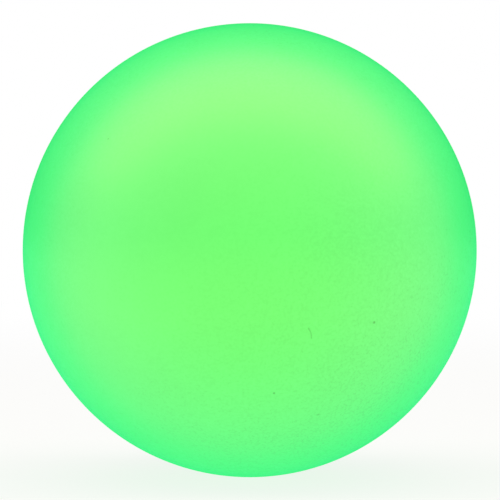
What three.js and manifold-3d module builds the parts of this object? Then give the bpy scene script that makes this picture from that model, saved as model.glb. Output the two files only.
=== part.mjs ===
// LED glow juggling ball, 70 mm: a soft translucent shell with a bonded threaded collar,
// and a screw-in light core that carries the push button, the electronics, two coin cells and the LEDs.
//
// Millimetres. Origin at the ball's centre, +Z up. The core's axis is Y: the plug is at +Y (the back),
// the lit face of the ball looks along -Y (the front).
import * as THREE from "three";
import { mergeVertices } from "three/addons/utils/BufferGeometryUtils.js";
import Module from "manifold-3d";

const wasm = await Module();
wasm.setup();

// ---------------------------------------------------------------- driving dimensions
const BALL_R = 35.0; // outer radius of the ball
const WALL = 3.8; // wall of the soft shell
const CAVITY_R = BALL_R - WALL;
const FIT = 0.3; // gap between neighbouring pieces
const SEG = 40; // facets round the ball

const OPENING_R = 17.3; // opening of the shell at the back
const BOSS_Y = 24.6; // flat inner face of the shell round its opening

const COLLAR_R = 17.0; // outside of the collar's rim
const COLLAR_FLANGE_R = 18.8; // flange behind the shell's wall
const COLLAR_TUBE_R = 15.4; // tube inside the cavity
const COUNTERBORE_R = 15.2; // recess that takes the plug's head
const SHELF_Y = 25.6; // seat of the seal ring
const COLLAR_BORE_R = 13.4; // root of the collar's thread
const COLLAR_CREST_R = 12.3; // crest of the collar's thread
const COLLAR_END_Y = 19.0;

const HEAD_R = 14.9; // plug's head
const HEAD_UNDER_Y = 28.2;
const ROOF_Y = 29.8; // underside of the head, inside the skirt
const SKIRT_R = 12.0;
const SKIRT_IN_R = 10.4;
const SKIRT_END_Y = 15.7;
const PLUG_CREST_R = 13.1; // crest of the plug's thread
const LAND_Y = 34.1; // flat land round the button, where the ball can stand
const LAND_R = Math.sqrt(BALL_R ** 2 - LAND_Y ** 2);
const BUTTON_BORE_R = 4.9;

const LEAD = 12.0; // axial travel for one turn of the plug
const STARTS = 3; // ridges of the quick thread
const RIDGE_TURN = (105 * Math.PI) / 180; // length of one ridge round the axis

const CORE_R = 11.9; // everything ahead of the thread stays inside this radius
const BOARD_Y0 = 21.2; // driver board, front and rear faces
const BOARD_Y1 = 22.4;
const BOARD_R = 10.0;
const SCREW_X = 7.9; // the two long screws

const CELL_R = 10.0; // coin cell, 20 x 3.2 mm
const CELL_T = 3.2;
const CELL_Y = 2.5; // centre of the cells along the axis
const BAY_Y0 = -8.0; // battery bay
const BAY_Y1 = 13.0;
const BAY_Z = 4.2; // half height of the bay
const PLATE_Z = 5.4; // outside of the holder's two plates
const HOLDER_Y0 = -10.1;
const HOLDER_Y1 = 15.4;

const LED_BOARD_Y0 = -11.6;
const LED_BOARD_Y1 = -10.4;
const LED_BOARD_R = 10.6;
const LED_RING_R = 6.6;
const LED_SCREW_Z = 9.0;

const DOME_R = 11.9; // frosted dome over the LEDs
const DOME_IN_R = 10.9;
const DOME_C_Y = -14.0; // centre of its round end
const DOME_Y1 = -9.5; // open end

// ---------------------------------------------------------------- helpers
// A closed surface as a solid, turned the right way out if need be.
function solid(geometry) {
  const g = geometry.clone();
  g.deleteAttribute("normal");
  g.deleteAttribute("uv");
  const m = mergeVertices(g, 1e-4);
  const all = m.index.array;
  const kept = [];
  for (let i = 0; i < all.length; i += 3) {
    const [a, b, c] = [all[i], all[i + 1], all[i + 2]];
    if (a !== b && b !== c && a !== c) kept.push(a, b, c);
  }
  const make = (tri) =>
    new wasm.Manifold(
      new wasm.Mesh({
        numProp: 3,
        vertProperties: new Float32Array(m.attributes.position.array),
        triVerts: new Uint32Array(tri),
      }),
    );
  let s = make(kept);
  if (s.volume() < 0) {
    for (let i = 0; i < kept.length; i += 3)
      [kept[i + 1], kept[i + 2]] = [kept[i + 2], kept[i + 1]];
    s = make(kept);
  }
  return s;
}

function toGeometry(s) {
  const mesh = s.getMesh();
  const g = new THREE.BufferGeometry();
  const n = mesh.numProp;
  const src = mesh.vertProperties;
  const pos = new Float32Array((src.length / n) * 3);
  for (let i = 0, j = 0; i < src.length; i += n, j += 3) {
    pos[j] = src[i];
    pos[j + 1] = src[i + 1];
    pos[j + 2] = src[i + 2];
  }
  g.setAttribute("position", new THREE.BufferAttribute(pos, 3));
  g.setIndex(new THREE.BufferAttribute(new Uint32Array(mesh.triVerts), 1));
  g.computeVertexNormals();
  return g;
}

// A turned piece about Y from a closed profile of [radius, y] points; the profile is closed here
// unless it starts and ends on the axis.
function turned(profile, segments = SEG) {
  const pts = profile.map(([r, y]) => new THREE.Vector2(r, y));
  const [a, b] = [pts[0], pts[pts.length - 1]];
  if (!(a.x === 0 && b.x === 0)) pts.push(a.clone());
  return solid(new THREE.LatheGeometry(pts, segments));
}

// Points on a circle of radius r about (0, cy), as [radius, y], by the angle above the XZ plane.
function arc(r, cy, from, to, n) {
  const out = [];
  for (let i = 0; i <= n; i++) {
    const a = from + ((to - from) * i) / n;
    out.push([Math.max(0, r * Math.cos(a)), cy + r * Math.sin(a)]);
  }
  return out;
}

function cylinderY(r, y0, y1, x = 0, z = 0, segments = 16) {
  const g = new THREE.CylinderGeometry(r, r, y1 - y0, segments);
  g.translate(x, (y0 + y1) / 2, z);
  return solid(g);
}

function box(x0, x1, y0, y1, z0, z1) {
  const g = new THREE.BoxGeometry(x1 - x0, y1 - y0, z1 - z0);
  g.translate((x0 + x1) / 2, (y0 + y1) / 2, (z0 + z1) / 2);
  return solid(g);
}

// A flat outline in the XZ plane (the outline's second number runs along -Z), raised from y0 to y1.
function raised(shape, y0, y1, curveSegments = 10) {
  const g = new THREE.ExtrudeGeometry(shape, {
    depth: y1 - y0,
    bevelEnabled: false,
    curveSegments,
  });
  g.rotateX(-Math.PI / 2);
  g.translate(0, y0, 0);
  return solid(g);
}

// One ridge of the quick thread: a trapezoid [r, y] section carried round Y on the helix,
// low at both ends so that it leads in.
function ridge(rRoot, rCrest, yStart, phiStart, steps = 14) {
  const wRoot = 0.95;
  const wCrest = 0.55;
  const s = new THREE.Shape();
  s.moveTo(0, -wRoot);
  s.lineTo(1, -wCrest);
  s.lineTo(1, wCrest);
  s.lineTo(0, wRoot);
  s.closePath();
  const g = new THREE.ExtrudeGeometry(s, {
    depth: 1,
    steps,
    bevelEnabled: false,
  });
  const p = g.getAttribute("position");
  for (let i = 0; i < p.count; i++) {
    const t = p.getZ(i);
    const phi = phiStart + t * RIDGE_TURN;
    const lift = Math.min(1, 0.55 + 5 * Math.min(t, 1 - t));
    const r = rRoot + (rCrest - rRoot) * p.getX(i) * lift;
    const y = yStart + p.getY(i) + (LEAD * t * RIDGE_TURN) / (2 * Math.PI);
    p.setXYZ(i, r * Math.sin(phi), y, r * Math.cos(phi));
  }
  return solid(g);
}

function material(color, roughness, metalness = 0, extra = {}) {
  return new THREE.MeshStandardMaterial({ color, roughness, metalness, ...extra });
}

function piece(name, s, mat, position) {
  const mesh = new THREE.Mesh(toGeometry(s), mat);
  mesh.name = name;
  if (position) mesh.position.set(...position);
  return mesh;
}

// ---------------------------------------------------------------- materials
const glowShell = material(0x78fd75, 0.5, 0, { emissive: 0x2fdc4a, emissiveIntensity: 0.8 });
const whitePlastic = material(0xeef1ea, 0.45);
const greyPlastic = material(0xc9cdc8, 0.5);
const blackRubber = material(0x1b1c1c, 0.8);
const softButton = material(0xdfe6dc, 0.6);
const blackPlastic = material(0x17181a, 0.5);
const boardGreen = material(0x1f6b3a, 0.45);
const boardWhite = material(0xf2f3ee, 0.4);
const nickel = material(0xc8c6bf, 0.3, 1);
const zincSteel = material(0xb9bcc0, 0.35, 1);
const cellSteel = material(0xcfd1d3, 0.25, 1);
const frosted = material(0xf4f8f2, 0.7);
const ledLens = material(0xaef7b4, 0.3, 0, { emissive: 0x3cff5a, emissiveIntensity: 1 });
const brassTurned = material(0xc6a24e, 0.35, 1);
const aluminiumCan = material(0xb4b7ba, 0.35, 1);
const resistorBody = material(0x202225, 0.4);
const redInsulation = material(0xb5231f, 0.5);
const blackInsulation = material(0x1a1a1c, 0.5);

// ---------------------------------------------------------------- shell and collar
const shellAssembly = new THREE.Group();

const boreTopY = Math.sqrt(BALL_R ** 2 - (OPENING_R + 0.4) ** 2);
const openAngle = Math.atan2(boreTopY, OPENING_R + 0.4);
const bossR = Math.sqrt(CAVITY_R ** 2 - BOSS_Y ** 2);
const innerAngle = Math.atan2(BOSS_Y, bossR);
const outerShell = turned([
  ...arc(BALL_R, 0, -Math.PI / 2, 0, 12),
  ...arc(BALL_R, 0, 0, openAngle, 8).slice(1),
  [OPENING_R, boreTopY - 0.35],
  [OPENING_R, BOSS_Y],
  ...arc(CAVITY_R, 0, innerAngle, -Math.PI / 2, 14),
]);
shellAssembly.add(piece("outer_shell", outerShell, glowShell));

let collar = turned([
  [COUNTERBORE_R, 31.1],
  [COUNTERBORE_R + 0.4, 31.33],
  [COLLAR_R - 0.4, 30.81],
  [COLLAR_R, 30.45],
  [COLLAR_R, BOSS_Y - FIT],
  [COLLAR_FLANGE_R, BOSS_Y - FIT],
  [COLLAR_FLANGE_R, 22.8],
  [COLLAR_TUBE_R, 22.2],
  [COLLAR_TUBE_R, COLLAR_END_Y],
  [COLLAR_BORE_R, COLLAR_END_Y],
  [COLLAR_BORE_R, SHELF_Y],
  [COUNTERBORE_R, SHELF_Y],
]);
const FEMALE_Y = 20.5; // centre line of a collar ridge where it starts
for (let i = 0; i < STARTS; i++)
  collar = collar.add(
    ridge(COLLAR_BORE_R + 0.5, COLLAR_CREST_R, FEMALE_Y, (i * 2 * Math.PI) / STARTS),
  );
shellAssembly.add(piece("threaded_collar", collar, whitePlastic));

// ---------------------------------------------------------------- seal ring
const SEAL_R = 13.3; // centre circle of the ring
const SEAL_SECTION_R = 1.1;
const sealRing = turned(
  Array.from({ length: 8 }, (_, i) => {
    const a = ((i + 0.5) * 2 * Math.PI) / 8;
    return [SEAL_R + SEAL_SECTION_R * Math.cos(a), SEAL_SECTION_R * Math.sin(a)];
  }),
  32,
);

// ---------------------------------------------------------------- screw plug
const core = new THREE.Group();

const headEdge = Math.atan2(Math.sqrt(BALL_R ** 2 - 14.5 ** 2), 14.5);
const landAngle = Math.atan2(LAND_Y, LAND_R);
let plug = turned([
  [HEAD_R, HEAD_UNDER_Y],
  [HEAD_R, 31.4],
  ...arc(BALL_R, 0, headEdge, landAngle, 4),
  [6.0, LAND_Y],
  [BUTTON_BORE_R, 33.2],
  [BUTTON_BORE_R, ROOF_Y],
  [SKIRT_IN_R, ROOF_Y],
  [SKIRT_IN_R, SKIRT_END_Y],
  [SKIRT_R, SKIRT_END_Y],
  [SKIRT_R, HEAD_UNDER_Y],
]);
// the plug's ridges sit under the collar's, one FIT away from them
for (let i = 0; i < STARTS; i++)
  plug = plug.add(
    ridge(SKIRT_R - 0.5, PLUG_CREST_R, FEMALE_Y - 1.9, (i * 2 * Math.PI) / STARTS),
  );
// posts for the two long screws
for (const s of [-1, 1]) {
  plug = plug.add(cylinderY(1.8, BOARD_Y1 + FIT, ROOF_Y + 0.6, s * SCREW_X, 0, 16));
  plug = plug.subtract(cylinderY(1.25, BOARD_Y1, 27.6, s * SCREW_X, 0, 12));
}
// two curved recesses in the head, for a coin or a fingernail to turn it
for (const s of [0, Math.PI]) {
  const k = new THREE.Shape();
  const [r0, r1, half] = [9.9, 12.7, (20 * Math.PI) / 180];
  k.absarc(0, 0, r1, s - half, s + half, false);
  const rm = (r0 + r1) / 2;
  const rr = (r1 - r0) / 2;
  k.absarc(rm * Math.cos(s + half), rm * Math.sin(s + half), rr, s + half, s + half + Math.PI, false);
  k.absarc(0, 0, r0, s + half, s - half, true);
  k.absarc(rm * Math.cos(s - half), rm * Math.sin(s - half), rr, s - half + Math.PI, s - half + 2 * Math.PI, false);
  plug = plug.subtract(raised(k, 31.5, 36, 8));
}
core.add(piece("screw_plug", plug, whitePlastic));

// ---------------------------------------------------------------- button and switch
const buttonBody = turned(
  [
    [0, 27.4],
    [1.7, 27.4],
    [1.7, 28.3],
    [5.9, 28.3],
    [5.9, 29.5],
    [4.6, 29.5],
    [4.6, 33.1],
    [4.2, 33.45],
    [2.9, 33.6],
    [2.6, 33.3],
    [0, 33.3],
  ],
  28,
);
const button = piece("push_button", buttonBody, softButton);

const switchGroup = new THREE.Group();
switchGroup.position.set(0, BOARD_Y1 + FIT, 0);
const switchBase = box(-3, 3, 0, 3.2, -3, 3).subtract(cylinderY(2.4, 0.7, 4, 0, 0, 20));
switchGroup.add(piece("switch_base", switchBase, blackPlastic));
const switchCover = box(-3.6, 3.6, 3.4, 3.7, -3, 3)
  .add(box(-3.6, -3.3, 1.3, 3.6, -1.6, 1.6))
  .add(box(3.3, 3.6, 1.3, 3.6, -1.6, 1.6))
  .subtract(cylinderY(2.05, 3, 4, 0, 0, 20));
switchGroup.add(piece("switch_cover", switchCover, nickel));
const plungerBody = turned(
  [
    [0, 1.5],
    [2.1, 1.5],
    [2.1, 2.3],
    [1.75, 2.3],
    [1.75, 4.2],
    [1.55, 4.4],
    [0, 4.4],
  ],
  20,
);
const plunger = piece("switch_plunger", plungerBody, blackPlastic);
switchGroup.add(plunger);
core.add(switchGroup);

// ---------------------------------------------------------------- driver board and its parts
const electronics = new THREE.Group();
let driverBoard = cylinderY(BOARD_R, BOARD_Y0, BOARD_Y1, 0, 0, 32);
for (const s of [-1, 1])
  driverBoard = driverBoard.subtract(cylinderY(1.25, BOARD_Y0 - 1, BOARD_Y1 + 1, s * SCREW_X, 0, 12));
electronics.add(piece("driver_board", driverBoard, boardGreen));

// small-outline chip: a moulded block on two rows of legs that stand on the board
let chip = box(-2.5, 2.5, 0.25, 1.6, -1.5, 1.5);
for (let i = 0; i < 4; i++)
  for (const s of [-1, 1])
    chip = chip.add(
      box(-1.9 - 0.2 + i * 1.27, -1.9 + 0.2 + i * 1.27, 0, 0.55, s > 0 ? 1.3 : -2.3, s > 0 ? 2.3 : -1.3),
    );
electronics.add(piece("controller_chip", chip, blackPlastic, [0, BOARD_Y1 + FIT, 6.3]));

const capBody = turned(
  [
    [0, 0],
    [2, 0],
    [2, 1.0],
    [1.85, 1.2],
    [2, 1.4],
    [2, 3.7],
    [1.8, 3.9],
    [0, 3.9],
  ],
  20,
);
electronics.add(piece("capacitor", capBody, aluminiumCan, [0, BOARD_Y1 + FIT, -6.3]));
const chipResistor = box(-0.8, 0.8, 0, 0.6, -1.6, 1.6);
electronics.add(piece("resistor_1", chipResistor, resistorBody, [4.7, BOARD_Y1 + FIT, 5.4]));
electronics.add(piece("resistor_2", chipResistor, resistorBody, [-4.7, BOARD_Y1 + FIT, 5.4]));

const standoffBody = turned(
  [
    [1.25, HOLDER_Y1 + FIT],
    [2.0, HOLDER_Y1 + FIT],
    [2.0, BOARD_Y0 - FIT],
    [1.25, BOARD_Y0 - FIT],
  ],
  16,
);
// pan head in the battery bay, shank through the holder, spacer and board into the plug's post
const longScrew = turned(
  [
    [0, 13.1],
    [1.4, 13.1],
    [1.75, 13.5],
    [1.75, 14.1],
    [0.95, 14.1],
    [0.95, 26.4],
    [0.5, 27.0],
    [0, 27.0],
  ],
  14,
)
  .subtract(box(-1.1, 1.1, 12.6, 13.6, -0.22, 0.22))
  .subtract(box(-0.22, 0.22, 12.6, 13.6, -1.1, 1.1));
[1, -1].forEach((s, i) => {
  electronics.add(piece(`standoff_${i + 1}`, standoffBody, brassTurned, [s * SCREW_X, 0, 0]));
  electronics.add(piece(`core_screw_${i + 1}`, longScrew, zincSteel, [s * SCREW_X, 0, 0]));
});
core.add(electronics);

// ---------------------------------------------------------------- battery holder, contacts, cells
const power = new THREE.Group();
const LEAD_X = 4.2; // the two insulated leads run outside the holder's plates
const LEAD_Z = 7.6;

let holder = turned([
  [0, HOLDER_Y0],
  [LED_BOARD_R, HOLDER_Y0],
  [LED_BOARD_R, -9.2],
  [CORE_R, -9.2],
  [CORE_R, HOLDER_Y1],
  [0, HOLDER_Y1],
]);
holder = holder
  .subtract(box(-CELL_R - 0.5, 20, BAY_Y0, BAY_Y1, -BAY_Z, BAY_Z))
  .subtract(box(-20, 20, BAY_Y0, BAY_Y1, PLATE_Z, 20))
  .subtract(box(-20, 20, BAY_Y0, BAY_Y1, -20, -PLATE_Z));
// thumb cut-out through both plates at the open side
const thumb = new THREE.CylinderGeometry(6.5, 6.5, 20, 24);
thumb.rotateX(Math.PI / 2);
thumb.translate(11.2, CELL_Y, 0);
holder = holder.subtract(solid(thumb));
for (const s of [-1, 1]) {
  holder = holder
    .subtract(cylinderY(2.05, BAY_Y1 - 1, BAY_Y1 + 1.4, s * SCREW_X, 0, 16))
    .subtract(cylinderY(1.25, BAY_Y1, HOLDER_Y1 + 1, s * SCREW_X, 0, 12))
    .subtract(cylinderY(0.85, HOLDER_Y0 - 1, BAY_Y0 + 1, 0, s * LED_SCREW_Z, 12))
    .subtract(cylinderY(1.0, HOLDER_Y0 - 1, BAY_Y0 + 1, LEAD_X, s * LEAD_Z, 12))
    .subtract(cylinderY(1.0, BAY_Y1 - 1, HOLDER_Y1 + 1, LEAD_X, s * LEAD_Z, 12))
    .subtract(
      s > 0
        ? box(-1.6, 1.6, BAY_Y1 - 1, HOLDER_Y1 + 1, 3.3, BAY_Z)
        : box(-1.6, 1.6, BAY_Y1 - 1, HOLDER_Y1 + 1, -BAY_Z, -3.3),
    );
}
power.add(piece("battery_holder", holder, greyPlastic));

// sheet-metal contact: a forked leaf over the cell, with a tail up to the driver board
function contactLeaf() {
  const s = new THREE.Shape();
  s.moveTo(-2.6, -3.0);
  s.lineTo(-0.6, -3.0);
  s.lineTo(-0.6, 6.0);
  s.lineTo(0.6, 6.0);
  s.lineTo(0.6, -3.0);
  s.lineTo(2.6, -3.0);
  s.lineTo(2.6, 10.6);
  s.lineTo(1.2, 12.0);
  s.lineTo(1.2, BOARD_Y0 - FIT);
  s.lineTo(-1.2, BOARD_Y0 - FIT);
  s.lineTo(-1.2, 12.0);
  s.lineTo(-2.6, 10.6);
  s.closePath();
  return solid(new THREE.ExtrudeGeometry(s, { depth: 0.3, bevelEnabled: false }));
}
const leaf = contactLeaf();
power.add(piece("positive_contact", leaf, nickel, [0, 0, 3.6]));
power.add(piece("negative_contact", leaf, nickel, [0, 0, -3.9]));

// coin cell about its own Z axis: flat positive face at +Z, stepped negative cap at -Z
function coinCell() {
  const h = CELL_T / 2;
  const pts = [
    [0, -h],
    [8.6, -h],
    [8.9, -h + 0.25],
    [9.5, -h + 0.3],
    [CELL_R, -h + 0.8],
    [CELL_R, h - 0.25],
    [CELL_R - 0.25, h],
    [0, h],
  ].map(([r, y]) => new THREE.Vector2(r, y));
  const g = new THREE.LatheGeometry(pts, SEG);
  g.rotateX(Math.PI / 2);
  return solid(g);
}
const cellBody = coinCell();
const cell1 = piece("battery_cell_1", cellBody, cellSteel, [0, CELL_Y, CELL_T / 2 + 0.1]);
const cell2 = piece("battery_cell_2", cellBody, cellSteel, [0, CELL_Y, -CELL_T / 2 - 0.1]);
power.add(cell1, cell2);

// insulated leads from the driver board to the LED board, bowed a little away from the plates
function lead(sz, bow) {
  const path = new THREE.CatmullRomCurve3(
    [
      [LEAD_X, BOARD_Y0 - FIT, sz * LEAD_Z],
      [LEAD_X, 14.6, sz * LEAD_Z],
      [LEAD_X + 0.3, 8, sz * (LEAD_Z + bow)],
      [LEAD_X + 0.4, -1, sz * (LEAD_Z + bow * 0.6)],
      [LEAD_X, -8.6, sz * LEAD_Z],
      [LEAD_X, LED_BOARD_Y1 + FIT, sz * LEAD_Z],
    ].map(([x, y, z]) => new THREE.Vector3(x, y, z)),
  );
  const ring = new THREE.Shape();
  ring.absarc(0, 0, 0.6, 0, 2 * Math.PI, false);
  return solid(
    new THREE.ExtrudeGeometry(ring, {
      extrudePath: path,
      steps: 16,
      curveSegments: 4,
      bevelEnabled: false,
    }),
  );
}
power.add(piece("red_lead", lead(1, 0.5), redInsulation));
power.add(piece("black_lead", lead(-1, 0.7), blackInsulation));
core.add(power);

// ---------------------------------------------------------------- LED board, LEDs and dome
const light = new THREE.Group();
let ledBoard = cylinderY(LED_BOARD_R, LED_BOARD_Y0, LED_BOARD_Y1, 0, 0, 32);
for (const s of [-1, 1])
  ledBoard = ledBoard.subtract(
    cylinderY(0.85, LED_BOARD_Y0 - 1, LED_BOARD_Y1 + 1, 0, s * LED_SCREW_Z, 12),
  );
light.add(piece("led_board", ledBoard, boardWhite));

// surface-mount LED facing -Y: a square package with a low clear lens
const lensProfile = [
  [0, -1.95],
  [0.7, -1.85],
  [1.15, -1.5],
  [1.15, -1.0],
  [0, -1.0],
];
const ledBody = box(-1.75, 1.75, -1.3, 0, -1.4, 1.4).add(turned(lensProfile, 10));
for (let i = 0; i < 7; i++) {
  const a = (i - 1) * (Math.PI / 3);
  const at =
    i === 0
      ? [0, LED_BOARD_Y0 - FIT, 0]
      : [LED_RING_R * Math.cos(a), LED_BOARD_Y0 - FIT, LED_RING_R * Math.sin(a)];
  light.add(piece(`led_${i + 1}`, ledBody, ledLens, at));
}

const shortScrew = turned(
  [
    [0, -12.9],
    [1.2, -12.9],
    [1.5, -12.5],
    [1.5, -11.9],
    [0.55, -11.9],
    [0.55, -8.8],
    [0.25, -8.4],
    [0, -8.4],
  ],
  12,
)
  .subtract(box(-0.95, 0.95, -13.4, -12.5, -0.18, 0.18))
  .subtract(box(-0.18, 0.18, -13.4, -12.5, -0.95, 0.95));
[1, -1].forEach((s, i) =>
  light.add(piece(`led_board_screw_${i + 1}`, shortScrew, zincSteel, [0, 0, s * LED_SCREW_Z])),
);

const dome = turned(
  [
    ...arc(DOME_R, DOME_C_Y, -Math.PI / 2, 0, 7),
    [DOME_R, DOME_Y1],
    [DOME_IN_R, DOME_Y1],
    ...arc(DOME_IN_R, DOME_C_Y, 0, -Math.PI / 2, 6),
  ],
  28,
);
light.add(piece("diffuser_dome", dome, frosted));
core.add(light);

// ---------------------------------------------------------------- the whole ball
const ball = new THREE.Group();
const sealMesh = piece("seal_ring", sealRing, blackRubber, [0, 26.9, 0]);
ball.add(shellAssembly, sealMesh, core, button);

export default ball;
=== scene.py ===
"""LED glow juggling ball, lit green, on a pale studio floor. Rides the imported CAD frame.

Units are metres in the scene; lengths in the code are written in millimetres and multiplied by MM.
The ball's centre is the origin, the core's axis is Y, and the plug is at +Y (the back).
"""
import bpy, bmesh, math
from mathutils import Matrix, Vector


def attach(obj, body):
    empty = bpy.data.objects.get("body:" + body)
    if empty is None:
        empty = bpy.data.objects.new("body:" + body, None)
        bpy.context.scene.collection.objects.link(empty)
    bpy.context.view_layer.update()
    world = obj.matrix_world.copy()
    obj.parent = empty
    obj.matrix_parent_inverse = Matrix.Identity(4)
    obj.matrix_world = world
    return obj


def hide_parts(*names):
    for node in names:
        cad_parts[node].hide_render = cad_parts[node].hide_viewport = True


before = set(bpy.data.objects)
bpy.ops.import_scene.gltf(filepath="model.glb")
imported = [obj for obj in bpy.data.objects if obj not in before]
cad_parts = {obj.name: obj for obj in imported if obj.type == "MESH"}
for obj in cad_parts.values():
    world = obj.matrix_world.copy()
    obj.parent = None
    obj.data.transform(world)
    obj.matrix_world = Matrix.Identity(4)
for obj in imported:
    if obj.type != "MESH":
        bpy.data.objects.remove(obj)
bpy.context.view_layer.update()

MM = 0.001
D = bpy.data
scene = bpy.context.scene

# ------------------------------------------------------------------ dimensions, as in the CAD
BALL_R, CAVITY_R = 35.0, 31.2
OPENING_R, BOSS_Y = 17.3, 24.6
COLLAR_R, COLLAR_FLANGE_R, COLLAR_TUBE_R = 17.0, 18.8, 15.4
COUNTERBORE_R, SHELF_Y = 15.2, 25.6
COLLAR_BORE_R, COLLAR_CREST_R, COLLAR_END_Y = 13.4, 12.3, 19.0
HEAD_R, HEAD_UNDER_Y, ROOF_Y = 14.9, 28.2, 29.8
SKIRT_R, SKIRT_IN_R, SKIRT_END_Y, PLUG_CREST_R = 12.0, 10.4, 15.7, 13.1
LAND_Y, BUTTON_BORE_R = 34.1, 4.9
LEAD, STARTS, RIDGE_TURN = 12.0, 3, math.radians(105)
FEMALE_Y = 20.5
MALE_Y = FEMALE_Y - 1.9
CORE_R, SCREW_X = 11.9, 7.9
CELL_R, CELL_T, CELL_Y = 10.0, 3.2, 2.5
BAY_Y0, BAY_Y1, BAY_Z, PLATE_Z = -8.0, 13.0, 4.2, 5.4
HOLDER_Y0, HOLDER_Y1 = -10.1, 15.4
LEAD_X, LEAD_Z = 4.2, 7.6
LED_SCREW_Z = 9.0
DOME_R, DOME_IN_R, DOME_C_Y, DOME_Y1 = 11.9, 10.9, -14.0, -9.5


# ------------------------------------------------------------------ mesh helpers
def link(name, mesh):
    o = D.objects.new(name, mesh)
    scene.collection.objects.link(o)
    return o


def finish_mesh(me, sharp=32.0):
    me.polygons.foreach_set("use_smooth", [True] * len(me.polygons))
    me.update()
    me.set_sharp_from_angle(angle=math.radians(sharp))


def outward(bm):
    bmesh.ops.recalc_face_normals(bm, faces=bm.faces)
    if bm.calc_volume(signed=True) < 0:
        bmesh.ops.reverse_faces(bm, faces=bm.faces)


def rounded(points, steps=5):
    """[(r, y, fillet)] -> [(r, y)]: each corner of a closed outline is rounded by its fillet radius; None keeps a point that is part of a curve."""
    out = []
    n = len(points)
    for i, p in enumerate(points):
        f = p[2] if len(p) > 2 else 0
        b = Vector(p[:2])
        if not f:
            out.append(tuple(b))
            continue
        a, c = Vector(points[i - 1][:2]), Vector(points[(i + 1) % n][:2])
        u, v = (a - b).normalized(), (c - b).normalized()
        ang = u.angle(v)
        d = min(f / math.tan(ang / 2), (a - b).length * 0.49, (c - b).length * 0.49)
        rad = d * math.tan(ang / 2)
        centre = b + (u + v).normalized() * (rad / math.sin(ang / 2))
        p0, p1 = b + u * d, b + v * d
        a0 = math.atan2(p0.y - centre.y, p0.x - centre.x)
        a1 = math.atan2(p1.y - centre.y, p1.x - centre.x)
        da = (a1 - a0 + math.pi) % (2 * math.pi) - math.pi
        for k in range(steps + 1):
            t = a0 + da * k / steps
            out.append((centre.x + rad * math.cos(t), centre.y + rad * math.sin(t)))
    return out


def arc(r, cy, a0, a1, n):
    return [
        (max(0.0, r * math.cos(a0 + (a1 - a0) * i / n)), cy + r * math.sin(a0 + (a1 - a0) * i / n))
        for i in range(n + 1)
    ]


def resample(points, step, closed=True):
    """Adds points so that no side of the outline is longer than step."""
    out = []
    n = len(points)
    for i in range(n if closed else n - 1):
        a, b = Vector(points[i]), Vector(points[(i + 1) % n])
        k = max(1, math.ceil((b - a).length / step))
        out += [tuple(a.lerp(b, j / k)) for j in range(k)]
    if not closed:
        out.append(points[-1])
    return out


def revolve(bm, profile, segments=128, shape=None, closed=True):
    """Adds the surface of a [(r, y)] outline (mm) turned about Y. shape(r, y, phi) -> (r, y) may move each point."""
    on_axis = profile[0][0] < 1e-6 and profile[-1][0] < 1e-6
    rings = []
    for r, y in profile:
        if r < 1e-6:
            rings.append([bm.verts.new((0, y * MM, 0))])
            continue
        ring = []
        for k in range(segments):
            phi = 2 * math.pi * k / segments
            rr, yy = shape(r, y, phi) if shape else (r, y)
            ring.append(bm.verts.new((rr * math.sin(phi) * MM, yy * MM, rr * math.cos(phi) * MM)))
        rings.append(ring)
    pairs = list(zip(rings, rings[1:]))
    if closed and not on_axis:
        pairs.append((rings[-1], rings[0]))
    for a, b in pairs:
        if len(a) == 1 and len(b) == 1:
            continue
        for k in range(segments):
            q = (k + 1) % segments
            if len(a) == 1:
                bm.faces.new((a[0], b[k], b[q]))
            elif len(b) == 1:
                bm.faces.new((a[k], b[0], a[q]))
            else:
                bm.faces.new((a[k], b[k], b[q], a[q]))
    return rings


def lathe(name, profile, segments=128, shape=None, sharp=32.0, centre=(0, 0, 0), axis="Y"):
    """One closed turned mesh; its own axis is Y, or Z for a piece that lies flat. centre is added afterwards (mm)."""
    bm = bmesh.new()
    revolve(bm, profile, segments, shape)
    if axis == "Z":
        for v in bm.verts:
            v.co = Vector((v.co.x, v.co.z, v.co.y))
    outward(bm)
    bmesh.ops.translate(bm, verts=bm.verts, vec=Vector(centre) * MM)
    me = D.meshes.new(name)
    bm.to_mesh(me)
    bm.free()
    finish_mesh(me, sharp)
    return link(name, me)


def box_mesh(name, x0, x1, y0, y1, z0, z1):
    bm = bmesh.new()
    bmesh.ops.create_cube(bm, size=1.0)
    for v in bm.verts:
        v.co = Vector((
            (x0 if v.co.x < 0 else x1) * MM,
            (y0 if v.co.y < 0 else y1) * MM,
            (z0 if v.co.z < 0 else z1) * MM,
        ))
    outward(bm)
    me = D.meshes.new(name)
    bm.to_mesh(me)
    bm.free()
    return link(name, me)


def smooth01(x):
    x = min(1.0, max(0.0, x))
    return x * x * (3 - 2 * x)


def carve(target, cutters, operation="DIFFERENCE"):
    """Applies exact booleans, one after another, and removes the cutters."""
    for c in cutters:
        m = target.modifiers.new("cut", "BOOLEAN")
        m.operation, m.solver, m.object = operation, "EXACT", c
        bake_modifiers(target)
        me = c.data
        D.objects.remove(c)
        D.meshes.remove(me)
    return target


def bake_modifiers(o):
    dg = bpy.context.evaluated_depsgraph_get()
    dg.update()
    made = D.meshes.new_from_object(o.evaluated_get(dg), depsgraph=dg)
    old = o.data
    o.modifiers.clear()
    name = old.name
    o.data = made
    D.meshes.remove(old)
    made.name = name


def tidy(o, merge=0.004, flat=0.6):
    """Welds and dissolves what a boolean leaves on flat faces."""
    bm = bmesh.new()
    bm.from_mesh(o.data)
    bmesh.ops.remove_doubles(bm, verts=bm.verts, dist=merge * MM)
    bmesh.ops.dissolve_limit(bm, angle_limit=math.radians(flat), verts=bm.verts, edges=bm.edges)
    outward(bm)
    bm.to_mesh(o.data)
    bm.free()
    o.data.update()


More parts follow.
